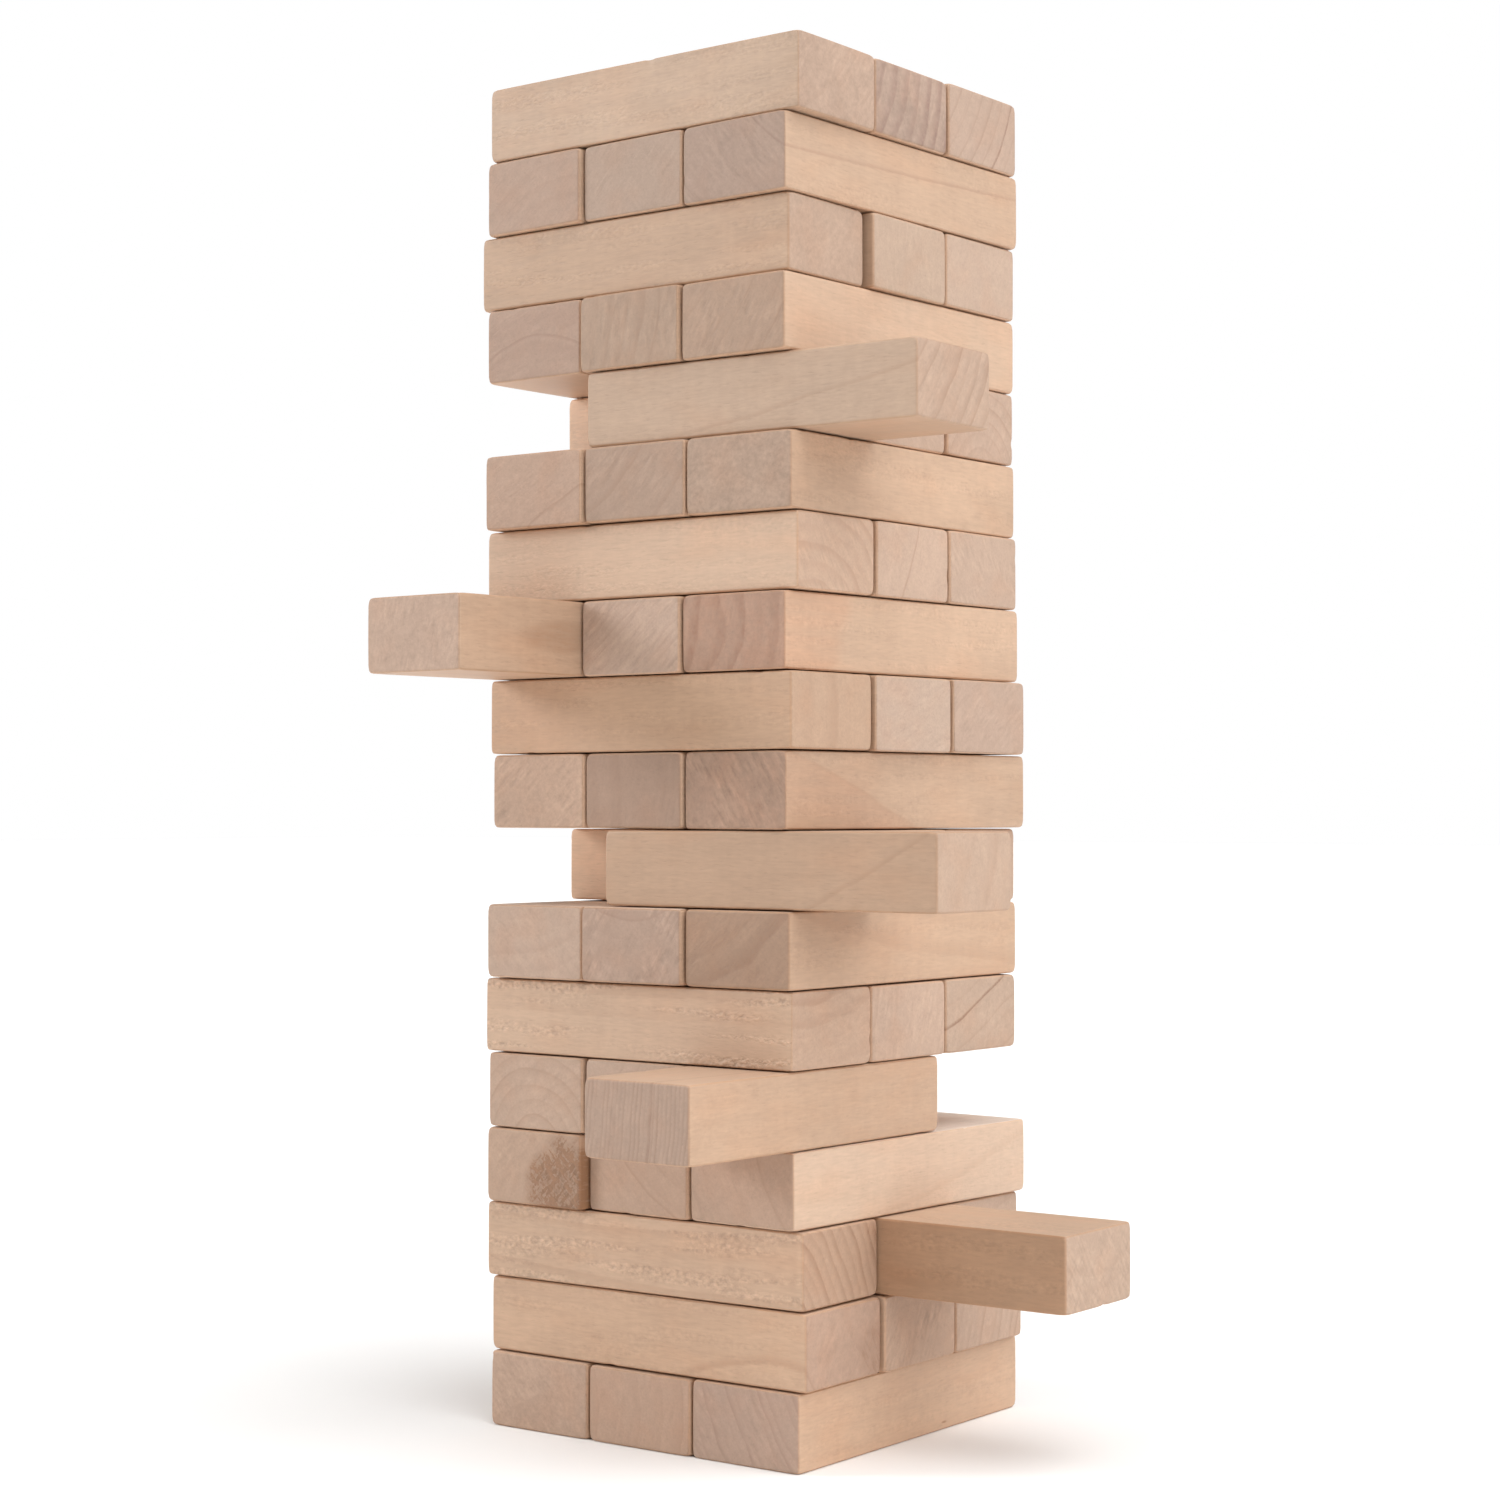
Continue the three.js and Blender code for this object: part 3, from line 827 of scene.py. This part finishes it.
# How much smaller than its CAD block a block is, in mm. Two numbers are a range.
SHORTER = (0, 0.4)
ENDS_ASKEW = 0.12
NARROWER = (0.2, 0.4)
THINNER = (0.1, 0.32)
THINNER_AT_ONE_END = 0.05
MOST_THINNER = 0.45

FIRST_SEED = 100  # of the random draws


def block_pose(node):
    """A CAD block's pose, with its length along its own X, and its half sizes in mm."""
    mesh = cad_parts[node].data
    points = np.empty(len(mesh.vertices) * 3)
    mesh.vertices.foreach_get("co", points)
    points = points.reshape(-1, 3)
    centre = (points.min(0) + points.max(0)) / 2
    level = (points - centre)[:, :2]
    along = np.linalg.eigh(level.T @ level)[1][:, -1]
    along = along * np.sign(along.sum())
    axes = np.array([(along[0], along[1], 0), (-along[1], along[0], 0), (0, 0, 1)])
    half = np.abs((points - centre) @ axes.T).max(0) / MM
    pose = Matrix(axes.T.tolist()).to_4x4()
    pose.translation = Vector(centre)
    return pose, half


def ripple(points, rng, wavelength):
    """Smooth random values, mostly between -1 and 1: a few sine waves in random directions."""
    total = np.zeros(len(points))
    for _ in range(RIPPLE_WAVES):
        direction = rng.normal(size=3)
        direction /= np.linalg.norm(direction)
        waves = points @ direction * (2 * np.pi / wavelength)
        total += np.sin(waves + rng.uniform(0, RIPPLE_TURN))
    return total / RIPPLE_WAVES ** 0.5


def axis_rows(half, radius, step, extra):
    """Where the mesh's rows cross one axis: close together at the edges, wider apart between."""
    flat = half - radius - SUPPORT[0]
    inner = np.linspace(-flat, flat, max(2, round(2 * flat / step)) + 1)
    inner = np.concatenate([inner, [x for x in extra if abs(x) < flat]])
    outer = [half - radius - gap for gap in SUPPORT[1:]]
    outer += [half - radius * (1 - math.tan(math.radians(a))) for a in EDGE_ANGLES]
    rows = np.sort(np.concatenate([-np.array(outer), inner, outer]))
    keep = np.concatenate([[True], np.diff(rows) > CLOSEST_ROWS])
    return rows[keep]


def box_surface(rows):
    """The points and four-sided faces of a box whose rows cross its axes at the given places."""
    counts = [len(r) for r in rows]
    grid = np.stack(np.meshgrid(*rows, indexing="ij"), axis=-1)
    outer = np.zeros(counts, bool)
    for axis in range(3):
        side = np.moveaxis(outer, axis, 0)
        side[0] = True
        side[-1] = True
    number = np.full(counts, -1)
    number[outer] = np.arange(outer.sum())
    faces = []
    for axis in range(3):
        layers = np.moveaxis(number, axis, 0)
        for layer, forwards in ((layers[0], axis == 1), (layers[-1], axis != 1)):
            corners = [layer[:-1, :-1], layer[1:, :-1], layer[1:, 1:], layer[:-1, 1:]]
            if not forwards:
                corners.reverse()
            faces.append(np.stack(corners, axis=-1).reshape(-1, 4))
    return grid[outer], np.concatenate(faces)


def make_dents(half, rng):
    """Small knocks on the edges: (axis the edge runs along, centre, radius, depth), in mm."""
    dents = []
    for _ in range(rng.integers(*DENT_COUNT)):
        axis = rng.choice(3, p=DENT_EDGES)
        centre = half * rng.choice((-1, 1), 3)
        centre[axis] = half[axis] * rng.uniform(-DENT_SPREAD, DENT_SPREAD)
        dents.append((axis, centre, rng.uniform(*DENT_RADIUS), rng.uniform(*DENT_DEPTH)))
    return dents


def round_edges(points, half, radius):
    """The points moved onto a box with round edges, and their normals."""
    inner = np.clip(points, radius - half, half - radius)
    normals = points - inner
    normals /= np.linalg.norm(normals, axis=1)[:, None]
    return inner + normals * radius, normals


def wear_down(points, normals, edge, half, radius, dents, rng):
    """The points with worn edges, dents and blunt corners. All of these only take wood away."""
    wear = rng.uniform(*EDGE_WEAR)
    uneven = 1
    for wavelength, strength in UNEVEN_WEAR:
        uneven = uneven + strength * ripple(points, rng, wavelength)
    sunk = edge * np.clip(wear * uneven, 0, MOST_EDGE_WEAR)
    for _, centre, reach, depth in dents:
        near = np.clip(1 - ((points - centre) ** 2).sum(1) / (reach + radius) ** 2, 0, 1)
        sunk = sunk + depth * near ** 2
    for corner in itertools.product((-1, 1), repeat=3):
        away = np.linalg.norm(points - half * corner, axis=1)
        worn = rng.uniform(*CORNER_WEAR) * np.clip(1 - away / CORNER_REACH, 0, 1) ** 2
        points = points - np.array(corner) / 3 ** 0.5 * worn[:, None]
    return points - normals * sunk[:, None]


def vary_size(points, half, stands_on_floor, narrow, rng):
    """The points of a block that is slightly smaller than the rest and not quite square."""
    share = points / half
    points[:, 0] *= 1 - rng.uniform(*SHORTER) / half[0]
    points[:, 0] += share[:, 0] * -np.abs(rng.normal(0, ENDS_ASKEW) * share[:, 1])
    points[:, 1] *= 1 - rng.uniform(*NARROWER) / half[1]
    points[:, 1] -= narrow * np.clip(share[:, 1], 0, 1)
    thin = rng.uniform(*THINNER, 2)
    thin = thin + THINNER_AT_ONE_END * np.outer(share[:, 0], rng.normal(size=2))
    thin = np.clip(thin, 0, MOST_THINNER)
    if stands_on_floor:
        thin[:, 0] = 0
    points[:, 2] -= np.where(share[:, 2] > 0, thin[:, 1], -thin[:, 0]) * np.abs(share[:, 2])
    return points


def smooth_mesh(name, points, faces):
    """A mesh of four-sided faces, shaded smooth, from points in mm."""
    mesh = bpy.data.meshes.new(name)
    mesh.vertices.add(len(points))
    mesh.vertices.foreach_set("co", (points * MM).ravel())
    mesh.loops.add(faces.size)
    mesh.loops.foreach_set("vertex_index", faces.ravel())
    mesh.polygons.add(len(faces))
    mesh.polygons.foreach_set("loop_start", np.arange(0, faces.size, 4))
    mesh.update(calc_edges=True)
    mesh.polygons.foreach_set("use_smooth", np.ones(len(faces), bool))
    return mesh


def block_mesh(name, half, flipped, stands_on_floor, narrow, rng):
    """A worn pine block, in its own frame, with the attributes that its material reads."""
    radius = rng.uniform(*EDGE_RADIUS)
    dents = make_dents(half, rng)
    rows = []
    for axis in range(3):
        extra = [c[axis] + r * t for a, c, r, _ in dents if a == axis for t in DENT_ROWS]
        rows.append(axis_rows(half[axis], radius, ROW_STEP[axis], extra))
    points, faces = box_surface(rows)
    points, normals = round_edges(points, half, radius)
    edge = np.clip(2 * (1 - (normals ** 2).max(1)), 0, 1)  # 0 on the flats
    points = wear_down(points, normals, edge, half, radius, dents, rng)
    points = vary_size(points, half, stands_on_floor, narrow, rng)
    mesh = smooth_mesh(name, points, faces)

    # The grain frame: u, v and w in mm, seen on the end that shows.
    forwards = -1 if flipped else 1
    grain = np.stack(
        [forwards * points[:, 1], points[:, 2], half[0] - forwards * points[:, 0]], axis=1)
    mesh.attributes.new("grain", "FLOAT_VECTOR", "POINT").data.foreach_set("vector", grain.ravel())
    for label, values in (("end", normals[:, 0] ** 2), ("edge", edge), ("upward", normals[:, 2])):
        mesh.attributes.new(label, "FLOAT", "POINT").data.foreach_set("value", values)
    mesh.validate()
    return mesh


def add_blocks():
    """One detailed block for each CAD block, riding on its body."""
    group = Pine().tree
    for number, node in enumerate(sorted(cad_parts)):
        rng = np.random.default_rng(FIRST_SEED + number)
        _, course, lane = node.split("_")
        pose, half = block_pose(node)
        # A middle block's name doesn't say which way it runs, but its pose does.
        runs_along_y = lane in ("left", "right") or abs(pose[1][0]) > 0.5
        label = f"{int(course)}_{lane}"
        narrow = GRAIN.get(label, {}).get("narrow", 0)
        mesh = block_mesh(node, half, runs_along_y, int(course) == 1, narrow, rng)
        mesh.materials.append(pine_material(label, group, rng))
        block = bpy.data.objects.new(f"block_{course}_{lane}", mesh)
        block.matrix_world = pose
        bpy.context.scene.collection.objects.link(block)
        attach(block, node)
        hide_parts(node)


add_camera()
add_dome()
for light_name, light_setting in LIGHTS.items():
    add_light(light_name, **light_setting)
add_floor()
add_blocks()
